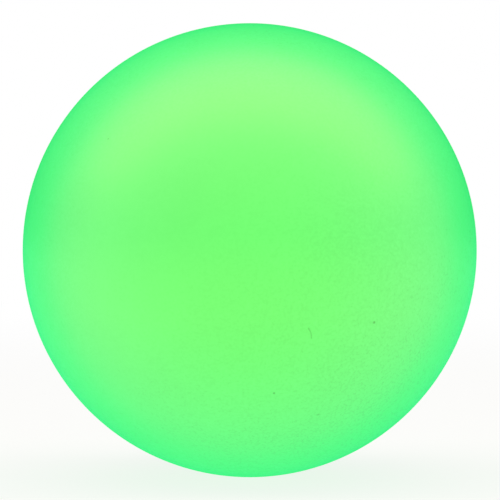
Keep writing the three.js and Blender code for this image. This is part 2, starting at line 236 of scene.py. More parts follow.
def bevelled(o, width, segments=2, angle=40.0, sharp=32.0):
    m = o.modifiers.new("edge", "BEVEL")
    m.width, m.segments = width * MM, segments
    m.limit_method, m.angle_limit = "ANGLE", math.radians(angle)
    m.harden_normals = False
    m.use_clamp_overlap = True
    m.miter_outer = "MITER_ARC"
    bake_modifiers(o)
    finish_mesh(o.data, sharp)
    return o


# ------------------------------------------------------------------ material helpers
class Mat:
    """A node material being built: n() adds a node, a link is made by giving an output as an input's value."""

    def __init__(self, name):
        self.m = D.materials.new(name)
        self.m.use_nodes = True
        self.t = self.m.node_tree
        self.t.nodes.clear()
        self.out = self.t.nodes.new("ShaderNodeOutputMaterial")
        self.bsdf = self.t.nodes.new("ShaderNodeBsdfPrincipled")
        self.t.links.new(self.bsdf.outputs[0], self.out.inputs["Surface"])
        self.coord = self.t.nodes.new("ShaderNodeTexCoord")
        self.object = self.coord.outputs["Object"]

    def put(self, socket, value):
        if isinstance(value, bpy.types.NodeSocket):
            self.t.links.new(value, socket)
        elif isinstance(value, (tuple, list)) and len(value) == 3 and socket.type == "RGBA":
            socket.default_value = (*value, 1.0)
        else:
            socket.default_value = value

    def n(self, kind, inputs=None, **props):
        node = self.t.nodes.new("ShaderNode" + kind)
        for k, v in props.items():
            setattr(node, k, v)
        for k, v in (inputs or {}).items():
            self.put(node.inputs[k], v)
        return node

    def set(self, **values):
        for k, v in values.items():
            self.put(self.bsdf.inputs[k.replace("_", " ")], v)
        return self

    def math(self, op, a, b=0.0, c=None, clamp=False):
        node = self.n("Math", {0: a, 1: b}, operation=op)
        node.use_clamp = clamp
        if c is not None:
            self.put(node.inputs[2], c)
        return node.outputs[0]

    def vmath(self, op, a, b=None, scale=None, out="Vector"):
        node = self.n("VectorMath", {0: a}, operation=op)
        if b is not None:
            self.put(node.inputs[1], b)
        if scale is not None:
            self.put(node.inputs["Scale"], scale)
        return node.outputs[out]

    def noise(self, scale, detail=3.0, rough=0.5, vector=None, distortion=0.0):
        return self.n(
            "TexNoise",
            {"Vector": vector or self.object, "Scale": scale, "Detail": detail, "Roughness": rough, "Distortion": distortion},
        ).outputs["Fac"]

    def voronoi(self, scale, feature="F1", vector=None, randomness=1.0):
        return self.n(
            "TexVoronoi", {"Vector": vector or self.object, "Scale": scale, "Randomness": randomness}, feature=feature
        ).outputs["Distance"]

    def ramp(self, fac, stops, interpolation="LINEAR"):
        node = self.n("ValToRGB", {"Fac": fac})
        cr = node.color_ramp
        cr.interpolation = interpolation
        while len(cr.elements) > 1:
            cr.elements.remove(cr.elements[-1])
        for i, (pos, col) in enumerate(stops):
            e = cr.elements[0] if i == 0 else cr.elements.new(pos)
            e.position = pos
            e.color = (*col, 1.0) if isinstance(col, (tuple, list)) else (col, col, col, 1.0)
        return node.outputs["Color"]

    def remap(self, x, a, b, c, d, clamp=True):
        node = self.n("MapRange", {"Value": x, "From Min": a, "From Max": b, "To Min": c, "To Max": d})
        node.clamp = clamp
        return node.outputs[0]

    def mix(self, fac, a, b, blend="MIX"):
        node = self.n("Mix", data_type="RGBA", blend_type=blend, clamp_factor=True)
        self.put(node.inputs[0], fac)
        self.put(node.inputs[6], a)
        self.put(node.inputs[7], b)
        return node.outputs[2]

    def bump(self, height, strength=0.3, distance=0.1, normal=None):
        ins = {"Height": height, "Strength": strength, "Distance": distance * MM}
        if normal is not None:
            ins["Normal"] = normal
        return self.n("Bump", ins).outputs[0]


def srgb(r, g, b):
    """8-bit display values to linear."""
    return tuple((v / 255 / 12.92) if v / 255 <= 0.04045 else ((v / 255 + 0.055) / 1.055) ** 2.4 for v in (r, g, b))


def paint(o, m):
    o.data.materials.clear()
    o.data.materials.append(m)
    return o


# ------------------------------------------------------------------ the glowing shell
def glow_material():
    """Soft translucent moulding lit by the LEDs behind it: the light is strongest straight ahead of the core and
    falls towards the plug; the skin over it takes up red along the slanting path near the ball's edge."""
    k = Mat("glow_shell")
    p = k.object
    sep = k.n("SeparateXYZ", {"Vector": p}).outputs
    unit = k.vmath("NORMALIZE", p)
    front = k.vmath("DOT_PRODUCT", unit, (0.0, -1.0, 0.0), out="Value")
    # slow cloudiness of the moulding, and the grain of its matt surface
    cloud = k.noise(55.0, 3.0, 0.55)
    fine = k.noise(2600.0, 2.0, 0.6)
    grain = k.noise(900.0, 3.0, 0.6)
    shifted = k.math("ADD", front, k.remap(cloud, 0.3, 0.7, -0.006, 0.006))
    t = k.remap(shifted, -1.0, 1.0, 0.0, 1.0)
    colour = k.ramp(
        t,
        [
            (0.000, (0.050, 0.400, 0.096)),
            (0.250, (0.056, 0.470, 0.108)),
            (0.450, (0.061, 0.530, 0.120)),
            (0.580, (0.064, 0.575, 0.130)),
            (0.650, (0.068, 0.603, 0.140)),
            (0.700, (0.066, 0.630, 0.153)),
            (0.750, (0.107, 0.647, 0.172)),
            (0.800, (0.176, 0.654, 0.184)),
            (0.860, (0.204, 0.672, 0.185)),
            (0.930, (0.178, 0.689, 0.164)),
            (1.000, (0.149, 0.704, 0.128)),
        ],
        "B_SPLINE",
    )
    # painted shade: the underside's glow is multiplied down, most in red, so the lower part of the ball is darker
    # where the overhead light falls less
    under = k.remap(sep[2], -0.25 * BALL_R * MM, -0.78 * BALL_R * MM, 0.0, 1.0)
    colour = k.mix(under, colour, k.mix(1.0, colour, (0.665, 0.965, 0.930), "MULTIPLY"))
    # the upper skin, facing the room's light, keeps a little more of it
    # painted highlight: red and a little blue are added to the glow of the upper part, which faces the overhead light
    over = k.remap(sep[2], 0.10 * BALL_R * MM, 0.65 * BALL_R * MM, 0.0, 1.0)
    colour = k.mix(over, colour, k.mix(1.0, colour, (0.050, 0.0, 0.012), "ADD"))
    # painted highlight: a little more is added to the glow on the upper shoulders, left and right, widening the
    # overhead light's crescent
    painted_shoulder_highlight = k.math("MULTIPLY", over, k.remap(front, 0.60, 0.38, 0.0, 1.0))
    painted_shoulder_highlight = k.math("MULTIPLY", painted_shoulder_highlight, k.remap(k.math("ABSOLUTE", sep[0]), 0.25 * BALL_R * MM, 0.60 * BALL_R * MM, 0.0, 1.0))
    colour = k.mix(painted_shoulder_highlight, colour, k.mix(1.0, colour, (0.018, 0.028, 0.012), "ADD"))
    # towards the lower right the grain shows as a fine speckle, and the glow is made up to 3.5% darker there
    low = k.math("ADD", k.math("MULTIPLY", sep[2], -0.75), k.math("MULTIPLY", sep[0], 0.66))
    where = k.remap(low, -0.012, 0.032, 0.22, 1.0)
    where = k.math("MAXIMUM", where, k.remap(front, 0.86, 0.40, 0.15, 0.85))
    speck = k.math("MULTIPLY", k.remap(fine, 0.25, 0.75, -1.0, 1.0), where)
    gain = k.math("ADD", 1.0, k.math("MULTIPLY", speck, 0.15))
    gain = k.math("MULTIPLY", gain, k.remap(grain, 0.3, 0.7, 0.992, 1.008))
    gain = k.math("MULTIPLY", gain, k.remap(cloud, 0.3, 0.7, 0.985, 1.012))
    gain = k.math("MULTIPLY", gain, k.remap(low, 0.0, 0.036, 1.0, 0.965))
    # a few motes and one short fibre caught on the skin
    for at, size, depth in (
        ((18.06, -28.57, -9.48), 0.17, 0.50),
        ((3.53, -28.71, -19.69), 0.16, 0.44),
        ((9.98, -24.20, -23.22), 0.19, 0.26),
        ((-20.70, -22.46, 17.09), 0.16, 0.26),
    ):
        v = Vector(at).normalized() * BALL_R * MM
        d = k.vmath("DISTANCE", p, tuple(v), out="Value")
        gain = k.math("MULTIPLY", gain, k.remap(d, size * MM * 0.5, size * MM * 1.6, 1.0 - depth, 1.0))
    a = Vector((8.42, -32.44, -10.08)).normalized() * BALL_R * MM
    b = Vector((8.86, -31.85, -11.48)).normalized() * BALL_R * MM
    ab = b - a
    along = k.math(
        "DIVIDE", k.vmath("DOT_PRODUCT", k.vmath("SUBTRACT", p, tuple(a)), tuple(ab), out="Value"), ab.length_squared, clamp=True
    )
    curl = k.math("MULTIPLY", k.math("SINE", k.math("MULTIPLY", along, math.pi)), 0.00012)
    near = k.vmath("ADD", tuple(a), k.vmath("SCALE", tuple(ab), scale=along))
    near = k.vmath("ADD", near, k.vmath("SCALE", (1.0, 0.0, 0.35), scale=curl))
    d = k.vmath("DISTANCE", p, near, out="Value")
    gain = k.math("MULTIPLY", gain, k.remap(d, 0.04 * MM, 0.18 * MM, 0.74, 1.0))
    lit = k.n("VectorMath", {0: colour}, operation="SCALE")
    k.put(lit.inputs["Scale"], gain)
    k.set(
        Base_Color=k.mix(cloud, (0.020, 0.210, 0.035), (0.028, 0.260, 0.045)),
        Roughness=k.remap(grain, 0.3, 0.7, 0.36, 0.43),
        Specular_IOR_Level=1.0,
        Specular_Tint=(1.0, 0.80, 0.10),
        Sheen_Weight=0.035,
        Sheen_Roughness=0.3,
        Coat_Weight=1.0,
        Coat_Roughness=0.6,
        Coat_IOR=1.01,
        Coat_Tint=(0.74, 0.985, 0.94),
        Emission_Color=lit.outputs[0],
        Emission_Strength=1.15,
        Normal=k.bump(k.math("ADD", k.math("MULTIPLY", fine, 0.6), grain), 0.25, 0.05),
    )
    return k.m


inner_a = math.atan2(BOSS_Y, math.sqrt(CAVITY_R**2 - BOSS_Y**2))
lip_y = math.sqrt(BALL_R**2 - (OPENING_R + 0.4) ** 2)
lip_a = math.atan2(lip_y, OPENING_R + 0.4)
shell_profile = (
    arc(BALL_R, 0, -math.pi / 2, lip_a, 96)
    + [(OPENING_R + 0.12, lip_y - 0.03), (OPENING_R, lip_y - 0.20), (OPENING_R, BOSS_Y + 0.2), (OPENING_R + 0.2, BOSS_Y)]
    + arc(CAVITY_R, 0, inner_a, -math.pi / 2, 72)
)
shell = lathe("glow_shell", shell_profile, 192)
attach(shell, "shell")
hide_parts("outer_shell")
paint(shell, glow_material())


# ------------------------------------------------------------------ quick thread
THREAD_SEG = 240
RIDGE_OFFSETS = [1.0, 0.86, 0.82, 0.77, 0.70, 0.62, 0.56, 0.52, 0.42, 0.22]


def ridge_rows(v0, y_lo, y_hi):
    """Rows of the threaded wall: close together over the ridge, wide elsewhere."""
    rows = [v0 - o for o in RIDGE_OFFSETS] + [v0] + [v0 + o for o in reversed(RIDGE_OFFSETS)]
    below = [y_lo + (rows[0] - y_lo) * f for f in (0.0, 0.5)] if rows[0] > y_lo + 0.2 else [y_lo]
    n = max(2, round((y_hi - rows[-1]) / 0.6))
    above = [rows[-1] + (y_hi - rows[-1]) * i / n for i in range(1, n + 1)]
    return below + rows + above


def ridge_shape(wall_r, root_r, crest_r, v0, y_lo, y_hi):
    """Rows of the wall climb with the ridges, so each ridge has clean edges, and slide back in the gap after it."""
    sector = 2 * math.pi / STARTS
    climb = LEAD * RIDGE_TURN / (2 * math.pi)

    def shape(r, y, phi):
        if abs(r - wall_r) > 1e-6 or y < y_lo - 1e-6 or y > y_hi + 1e-6:
            return r, y
        s = phi % sector
        if s > sector - 1e-6:
            s = 0.0
        on = s <= RIDGE_TURN + 1e-6
        rise = LEAD * s / (2 * math.pi) if on else climb * (1 - smooth01((s - RIDGE_TURN) / (sector - RIDGE_TURN)))
        a, b = v0 - 1.0, v0 + 1.0
        if y <= a:
            yy = y_lo + (y - y_lo) * (a + rise - y_lo) / (a - y_lo)
        elif y < b:
            yy = y + rise
        else:
            yy = y_hi - (y_hi - y) * (y_hi - b - rise) / (y_hi - b)
        if not on:
            return r, yy
        t = s / RIDGE_TURN
        lift = min(1.0, 0.55 + 5 * min(t, 1 - t))
        top = root_r + (crest_r - root_r) * lift
        k = smooth01((0.86 - abs(y - v0)) / 0.34) * smooth01(min(t, 1 - t) / 0.02)
        return r + (top - r) * k, yy

    return shape


# ------------------------------------------------------------------ plastics, rubber, metals
def plastic(name, light, dark, rough=(0.38, 0.5), glow=None, grain=1.0, edge=0.12):
    """Moulded plastic: faint flow clouding, spark-eroded grain, handling marks, edges rubbed a little lighter. With
    glow, painted light shining through the plastic is added as emission.
    """
    k = Mat(name)
    cloud = k.noise(120.0, 4.0, 0.55)
    flow = k.noise(35.0, 2.0, 0.5, distortion=1.5)
    grainy = k.noise(3200.0, 2.0, 0.6)
    smear = k.noise(260.0, 5.0, 0.65, distortion=0.6)
    col = k.mix(k.remap(cloud, 0.3, 0.7, 0.0, 1.0), dark, light)
    col = k.mix(k.remap(flow, 0.35, 0.75, 0.0, 0.25), col, tuple(c * 0.94 for c in dark))
    geo = k.n("NewGeometry")
    worn = k.remap(geo.outputs["Pointiness"], 0.52, 0.60, 0.0, edge)
    col = k.mix(worn, col, tuple(min(1.0, c * 1.15 + 0.03) for c in light))
    r = k.remap(smear, 0.3, 0.72, rough[0], rough[1])
    h = k.math("ADD", k.math("MULTIPLY", grainy, 0.7), k.math("MULTIPLY", cloud, 0.3))
    k.set(Base_Color=col, Roughness=r, Specular_IOR_Level=0.45, Normal=k.bump(h, 0.22 * grain, 0.04))
    # glow is painted light: the LEDs' light shining through the plastic is given as emission
    if glow:
        k.set(Emission_Color=k.mix(k.remap(cloud, 0.3, 0.7, 0.0, 1.0), tuple(c * 0.85 for c in glow), glow), Emission_Strength=1.0)
    return k.m


def rubber():
    k = Mat("black_rubber")
    dust = k.noise(700.0, 5.0, 0.7)
    patch = k.noise(90.0, 3.0, 0.5)
    col = k.mix(k.remap(dust, 0.48, 0.75, 0.0, 0.35), (0.012, 0.012, 0.013), (0.060, 0.060, 0.058))
    k.set(
        Base_Color=col,
        Roughness=k.remap(patch, 0.3, 0.7, 0.58, 0.78),
        Specular_IOR_Level=0.4,
        Normal=k.bump(k.noise(2400.0, 3.0), 0.25, 0.04),
    )
    return k.m


def metal(name, light, dark, rough=(0.22, 0.36), lines=None, tarnish=(0.3, 0.22, 0.12), tarnish_amount=0.25, depth=0.10):
    """Plated or turned metal. lines gives the direction of the drawing or turning marks: "x", "y", "z" or "turned"."""
    k = Mat(name)
    p = k.object
    sep = k.n("SeparateXYZ", {"Vector": p}).outputs
    if lines == "turned":
        rr = k.vmath("LENGTH", k.n("CombineXYZ", {"X": sep[0], "Y": 0.0, "Z": sep[2]}).outputs[0], out="Value")
        v = k.n("CombineXYZ", {"X": k.math("MULTIPLY", rr, 40.0), "Y": k.math("MULTIPLY", sep[1], 40.0), "Z": 0.0}).outputs[0]
        mark = k.noise(140.0, 3.0, 0.6, vector=v)
    elif lines:
        s = {"x": (60.0, 2500.0, 2500.0), "y": (2500.0, 60.0, 2500.0), "z": (2500.0, 2500.0, 60.0)}[lines]
        mark = k.noise(1.0, 3.0, 0.6, vector=k.vmath("MULTIPLY", p, s))
    else:
        mark = k.noise(1800.0, 3.0, 0.6)
    blot = k.noise(210.0, 5.0, 0.62, distortion=0.8)
    col = k.mix(k.remap(mark, 0.3, 0.7, 0.0, 1.0), dark, light)
    col = k.mix(k.remap(blot, 0.55, 0.80, 0.0, tarnish_amount), col, tarnish)
    r = k.math("ADD", k.remap(mark, 0.3, 0.7, rough[0], rough[1]), k.remap(blot, 0.5, 0.8, 0.0, 0.14))
    k.set(Base_Color=col, Metallic=1.0, Roughness=r, Normal=k.bump(mark, depth, 0.02))
    return k.m


white_plastic = plastic("white_plastic", (0.77, 0.79, 0.75), (0.70, 0.73, 0.68), (0.34, 0.50))
# the collar's glow is painted light from the LEDs shining through it
collar_plastic_painted_glow = plastic("collar_plastic_painted_glow", (0.74, 0.77, 0.72), (0.67, 0.71, 0.65), (0.36, 0.52), glow=(0.030, 0.170, 0.050))
grey_plastic = plastic("grey_plastic", (0.40, 0.42, 0.41), (0.33, 0.35, 0.34), (0.40, 0.56))
soft_button = plastic("soft_button", (0.45, 0.52, 0.44), (0.37, 0.45, 0.37), (0.52, 0.66), grain=1.4)
black_plastic = plastic("black_plastic", (0.020, 0.021, 0.022), (0.013, 0.013, 0.014), (0.38, 0.55), edge=0.25)
black_rubber = rubber()
nickel = metal("nickel", (0.62, 0.60, 0.55), (0.52, 0.50, 0.45), (0.20, 0.34), "y")
zinc_steel = metal("zinc_steel", (0.58, 0.60, 0.63), (0.47, 0.49, 0.52), (0.26, 0.42), "turned", (0.42, 0.36, 0.20), 0.35)
brass = metal("brass", (0.72, 0.50, 0.20), (0.60, 0.40, 0.14), (0.22, 0.36), "turned", (0.22, 0.12, 0.05), 0.40)
solder = metal("solder", (0.62, 0.63, 0.64), (0.48, 0.49, 0.51), (0.22, 0.40))


# ------------------------------------------------------------------ collar
collar_rows = ridge_rows(FEMALE_Y, COLLAR_END_Y + 0.3, SHELF_Y - 0.3)
collar_profile = rounded(
    [
        (COUNTERBORE_R, 31.1, 0.16),
        (15.6, 31.33),
        (16.1, 31.077),
        (16.6, 30.81),
        (COLLAR_R, 30.55, 0.18),
        (COLLAR_R, BOSS_Y - 0.3, 0.12),
        (COLLAR_FLANGE_R, BOSS_Y - 0.3, 0.25),
        (COLLAR_FLANGE_R, 22.8, 0.3),
        (COLLAR_TUBE_R, 22.2, 0.5),
        (COLLAR_TUBE_R, COLLAR_END_Y, 0.3),
        (COLLAR_BORE_R, COLLAR_END_Y, 0.14),
    ]
    + [(COLLAR_BORE_R, y) for y in collar_rows]
    + [(COLLAR_BORE_R, SHELF_Y, 0.14), (COUNTERBORE_R, SHELF_Y, 0.25)]
)
collar = lathe(
    "collar",
    collar_profile,
    THREAD_SEG,
    ridge_shape(COLLAR_BORE_R, COLLAR_BORE_R + 0.5, COLLAR_CREST_R, FEMALE_Y, collar_rows[0], collar_rows[-1]),
    sharp=50.0,
)
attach(collar, "shell")
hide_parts("threaded_collar")
paint(collar, collar_plastic_painted_glow)

# ------------------------------------------------------------------ seal ring
section = [
    (13.3 + 1.1 * math.cos(a), 26.9 + 1.1 * math.sin(a))
    for a in (2 * math.pi * (i + 0.5) / 32 for i in range(32))
]
seal = lathe("o_ring", section, 192, sharp=60.0)
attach(seal, "seal")
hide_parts("seal_ring")
paint(seal, black_rubber)


# ------------------------------------------------------------------ screw plug
KIDNEY_R, KIDNEY_W, KIDNEY_HALF, KIDNEY_FLOOR = 11.3, 1.4, math.radians(20), 31.5


def kidney_loop(side, d, n_arc=26, n_cap=16):
    """Outline of a head recess, moved outward by d, as (x, z)."""
    w = KIDNEY_W + d
    a0 = 0.0 if side > 0 else math.pi
    pts = []
    for i in range(n_arc):
        a = a0 - KIDNEY_HALF + 2 * KIDNEY_HALF * i / n_arc
        pts.append(((KIDNEY_R + w) * math.cos(a), (KIDNEY_R + w) * math.sin(a)))
    for i in range(n_cap):
        e = a0 + KIDNEY_HALF
        b = e + math.pi * i / n_cap
        pts.append((KIDNEY_R * math.cos(e) + w * math.cos(b), KIDNEY_R * math.sin(e) + w * math.sin(b)))
    for i in range(n_arc):
        a = a0 + KIDNEY_HALF - 2 * KIDNEY_HALF * i / n_arc
        pts.append(((KIDNEY_R - w) * math.cos(a), (KIDNEY_R - w) * math.sin(a)))
    for i in range(n_cap):
        e = a0 - KIDNEY_HALF
        b = e + math.pi + math.pi * i / n_cap
        pts.append((KIDNEY_R * math.cos(e) + w * math.cos(b), KIDNEY_R * math.sin(e) + w * math.sin(b)))
    return pts


def kidney_distance(x, z):
    a = math.atan2(z, abs(x))
    if abs(a) <= KIDNEY_HALF:
        return abs(math.hypot(x, z) - KIDNEY_R) - KIDNEY_W
    e = math.copysign(KIDNEY_HALF, a)
    return math.hypot(abs(x) - KIDNEY_R * math.cos(e), z - KIDNEY_R * math.sin(e)) - KIDNEY_W


def sphere_y(r):
    return math.sqrt(BALL_R**2 - r * r)


def make_plug():
    land_r = 7.8
    face_r = 14.45
    rows = ridge_rows(MALE_Y, SKIRT_END_Y + 0.5, HEAD_UNDER_Y - 0.5)
    outline = rounded(
        [
            (face_r, sphere_y(face_r)),
            (14.72, 31.68),
            (HEAD_R, 31.35),
            (HEAD_R, HEAD_UNDER_Y, 0.3),
            (SKIRT_R, HEAD_UNDER_Y, 0.2),
        ]
        + [(SKIRT_R, y) for y in reversed(rows)]
        + [
            (SKIRT_R, SKIRT_END_Y, 0.3),
            (SKIRT_IN_R, SKIRT_END_Y, 0.25),
            (SKIRT_IN_R, ROOF_Y, 0.5),
            (BUTTON_BORE_R, ROOF_Y, 0.12),
            (BUTTON_BORE_R, 33.2, 0.25),
            (6.0, LAND_Y, 0.25),
            (7.0, LAND_Y),
            (7.55, LAND_Y - 0.008),
            (land_r, sphere_y(land_r) - 0.012),
        ]
    )
    # the two ends of the outline stay as they are: the outer face is made between them
    bm = bmesh.new()
    rings = revolve(
        bm,
        outline,
        THREAD_SEG,
        ridge_shape(SKIRT_R, SKIRT_R - 0.5, PLUG_CREST_R, MALE_Y, rows[0], rows[-1]),
        closed=False,
    )
    outer, inner = rings[0], rings[-1]
    pts, made, edges = [], [], []

    def add(x, z, vert=None):
        pts.append(Vector((x, z)))
        made.append(vert)
        return len(pts) - 1

    def loop(ids):
        for i, a in enumerate(ids):
            edges.append((a, ids[(i + 1) % len(ids)]))

    for ring in (outer, inner):
        loop([add(v.co.x / MM, v.co.z / MM, v) for v in ring])
    for side in (1, -1):
        loop([add(x, z) for x, z in kidney_loop(side, 0.34)])
        for d in (0.62, 1.0):
            for x, z in kidney_loop(side, d)[::2]:
                if math.hypot(x, z) < face_r - 0.25:
                    add(x, z)
    rings_n = 12
    for j in range(1, rings_n):
        r = land_r + (face_r - land_r) * j / rings_n
        n = 120
        for i in range(n):
            a = 2 * math.pi * (i + 0.5 * (j % 2)) / n
            x, z = r * math.cos(a), r * math.sin(a)
            if kidney_distance(x, z) > 1.25:
                add(x, z)
    from mathutils.geometry import delaunay_2d_cdt

    out_v, _, out_f, orig_v, _, _ = delaunay_2d_cdt(pts, edges, [], 0, 1e-6)
    verts = []
    for co, src in zip(out_v, orig_v):
        known = next((made[s] for s in src if made[s] is not None), None)
        verts.append(known or bm.verts.new((co.x * MM, sphere_y(co.length) * MM, co.y * MM)))
    for f in out_f:
        c = sum((out_v[i] for i in f), Vector((0, 0))) / len(f)
        if land_r - 0.02 < c.length < face_r + 0.02 and kidney_distance(c.x, c.y) > 0.339:
            try:
                bm.faces.new([verts[i] for i in f])
            except ValueError:
                pass
    # the recesses: rolled edge, steep wall, filleted floor
    for side in (1, -1):
        top = kidney_loop(side, 0.34)
        lookup = {}
        for co, v in zip(out_v, verts):
            lookup[(round(co.x, 4), round(co.y, 4))] = v
        prev = [lookup[(round(x, 4), round(z, 4))] for x, z in top]
        levels = [(0.24, -0.015, None), (0.14, -0.055, None), (0.07, -0.125, None), (0.03, -0.22, None), (0.01, -0.34, None)]
        levels += [(-0.03, None, 0.50), (-0.06, None, 0.30), (-0.12, None, 0.16), (-0.22, None, 0.06), (-0.36, None, 0.012), (-0.5, None, 0.0), (-0.9, None, 0.0)]
        for d, drop, lift in levels:
            ring = []
            for x, z in kidney_loop(side, d):
                y = sphere_y(math.hypot(x, z)) + drop if drop is not None else KIDNEY_FLOOR + lift
                ring.append(bm.verts.new((x * MM, y * MM, z * MM)))
            n = len(ring)
            for i in range(n):
                q = (i + 1) % n
                bm.faces.new((prev[i], prev[q], ring[q], ring[i]))
            prev = ring
        bm.faces.new(prev)
    loose = [v for v in bm.verts if not v.link_faces]
    bmesh.ops.delete(bm, geom=loose, context="VERTS")
    outward(bm)
    open_edges = sum(1 for e in bm.edges if len(e.link_faces) != 2)
    me = D.meshes.new("plug")
    bm.to_mesh(me)
    bm.free()
    finish_mesh(me, 50.0)
    if open_edges:
        print("plug: edges without two faces:", open_edges)
    return link("plug", me)


def cyl(name, r, y0, y1, x=0.0, z=0.0, segments=48, fillet=0.0, r_in=0.0, f_in=0.0):
    """A turned rod or, with r_in, a tube, parallel to Y."""
    if r_in:
        prof = rounded([(r, y0, fillet), (r, y1, fillet), (r_in, y1, f_in), (r_in, y0, f_in)], 3)
    else:
        prof = rounded([(0.0, y0), (r, y0, fillet), (r, y1, fillet), (0.0, y1)], 3)
    return lathe(name, prof, segments, centre=(x, 0, z))


plug = make_plug()
for s in (-1, 1):
    post = lathe(
        "post",
        rounded([(1.25, 22.7, 0.1), (1.8, 22.7, 0.15), (1.8, 29.3), (2.15, 29.9), (0.0, 30.2), (0.0, 27.6), (1.25, 27.6, 0.2)], 3),
        48,
        centre=(s * SCREW_X, 0, 0),
    )
    carve(plug, [post], "UNION")
finish_mesh(plug.data, 50.0)
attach(plug, "core")
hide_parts("screw_plug")
paint(plug, white_plastic)

# ------------------------------------------------------------------ push button
cap = lathe(
    "button_cap",
    rounded(
        [
            (0.0, 27.4),
            (1.7, 27.4, 0.25),
            (1.7, 28.3, 0.2),
            (5.9, 28.3, 0.2),
            (5.9, 29.5, 0.3),
            (4.6, 29.5, 0.25),
            (4.6, 33.1, 0.35),
            (4.2, 33.45, 0.3),
            (2.95, 33.6, 0.18),
            (2.6, 33.33, 0.25),
            (1.2, 33.27),
            (0.0, 33.25),
        ],
        5,
    ),
    96,
    sharp=60.0,
)
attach(cap, "button")
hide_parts("push_button")
paint(cap, soft_button)


# ------------------------------------------------------------------ small-part helpers
def place(o, body, node, slot, *materials):
    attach(o, body)
    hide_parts(node)
    if materials:
        paint(o, materials[0])
        for m in materials[1:]:
            o.data.materials.append(m)
    return o


def join(name, parts):
    """Several closed bodies as one object; each part is (object, material)."""
    bm = bmesh.new()
    mats = []
    for o, m in parts:
        if m not in mats:
            mats.append(m)
        n = len(bm.faces)
        bm.from_mesh(o.data)
        bm.faces.ensure_lookup_table()
        for f in bm.faces[n:]:
            f.material_index = mats.index(m)
    me = D.meshes.new(name)
    bm.to_mesh(me)
    bm.free()
    for m in mats:
        me.materials.append(m)
    for o, _ in parts:
        old = o.data
        D.objects.remove(o)
        D.meshes.remove(old)
    return link(name, me)


def prism(name, outline, a, b, along="z"):
    """A flat outline (mm) raised from a to b. along z: outline is (x, y); y: (x, z); x: (y, z)."""
    put = {
        "z": lambda p, h: (p[0], p[1], h),
        "y": lambda p, h: (p[0], h, p[1]),
        "x": lambda p, h: (h, p[0], p[1]),
    }[along]
    bm = bmesh.new()
    lo_ring = [bm.verts.new(Vector(put(p, a)) * MM) for p in outline]
    hi_ring = [bm.verts.new(Vector(put(p, b)) * MM) for p in outline]
    bm.faces.new(lo_ring)
    bm.faces.new(hi_ring)
    n = len(outline)
    for i in range(n):
        q = (i + 1) % n
        bm.faces.new((lo_ring[i], lo_ring[q], hi_ring[q], hi_ring[i]))
    outward(bm)
    me = D.meshes.new(name)
    bm.to_mesh(me)
    bm.free()
    return link(name, me)


def spline(points, per=20):
    """Catmull-Rom through the points."""
    p = [Vector(q) for q in points]
    p = [p[0] * 2 - p[1]] + p + [p[-1] * 2 - p[-2]]
    out = []
    for i in range(1, len(p) - 2):
        a, b, c, d = p[i - 1 : i + 3]
        for j in range(per):
            t = j / per
            out.append(0.5 * ((2 * b) + (c - a) * t + (2 * a - 5 * b + 4 * c - d) * t * t + (3 * b - a - 3 * c + d) * t**3))
    out.append(p[-2])
    return out


def tube(name, path, radius, segments=20):
    """Round tube with closed, slightly rounded ends along a path (mm)."""
    bm = bmesh.new()
    rings = []
    n = len(path)
    side = Vector((1, 0, 0))
    for i, c in enumerate(path):
        t = (path[min(i + 1, n - 1)] - path[max(i - 1, 0)]).normalized()
        side = (side - t * side.dot(t)).normalized()
        up = t.cross(side)
        r = radius * (0.86 if i in (0, n - 1) else 1.0)
        rings.append([
            bm.verts.new((c + (side * math.cos(a) + up * math.sin(a)) * r) * MM)
            for a in (2 * math.pi * k / segments for k in range(segments))
        ])
    for a, b in zip(rings, rings[1:]):
        for k in range(segments):
            q = (k + 1) % segments
            bm.faces.new((a[k], a[q], b[q], b[k]))
    bm.faces.new(rings[0])
    bm.faces.new(rings[-1])
    outward(bm)
    me = D.meshes.new(name)
    bm.to_mesh(me)
    bm.free()
    finish_mesh(me, 50.0)
    return link(name, me)


def screw(name, head_y, under_y, tip_y, head_r, shank_r, tip_r, cross, cross_w, deep, pitch, x=0.0, z=0.0, flip=1):
    """Pan-head screw along Y with a cross recess and a rolled thread. The head is at head_y."""
    s = 1 if tip_y > head_y else -1
    def Y(v):
        return head_y + s * v
    h = abs(under_y - head_y)
    total = abs(tip_y - head_y)
    t0, t1 = h + 0.7, total - 0.5
    rows = []
    step = pitch / 6
    n = int((t1 - t0) / step)
    for i in range(n + 1):
        rows.append((shank_r, Y(t0 + i * step)))
    depth = shank_r * 0.16

    def shape(r, y, phi):
        v = s * (y - head_y)
        if abs(r - shank_r) > 1e-6 or v < t0 - 1e-6 or v > t0 + n * step + 1e-6:
            return r, y
        u = (v / pitch + phi / (2 * math.pi)) % 1.0
        fade = smooth01((v - t0) / pitch) * smooth01((t0 + n * step - v) / pitch)
        groove = 0.5 - 0.5 * math.cos(2 * math.pi * u)
        return r - depth * groove * fade, y

    prof = rounded(
        [
            (0.0, Y(0)),
            (head_r * 0.55, Y(0.02)),
            (head_r * 0.82, Y(h * 0.10)),
            (head_r * 0.97, Y(h * 0.34)),
            (head_r, Y(h * 0.55)),
            (head_r, Y(h), 0.12),
            (shank_r, Y(h), 0.1),
        ]
        + rows
        + [(shank_r * 0.92, Y(total - 0.45)), (tip_r, Y(total)), (0.0, Y(total))],
        3,
    )
    o = lathe(name, prof, 48, shape, sharp=60.0, centre=(x, 0, z))
    cuts = []
    for w, l in ((cross_w, cross), (cross, cross_w)):
        y0, y1 = sorted((Y(-0.5), Y(deep)))
        cuts.append(box_mesh("cut", x - w, x + w, y0, y1, z - l, z + l))
    carve(o, cuts)
    finish_mesh(o.data, 45.0)
    return o


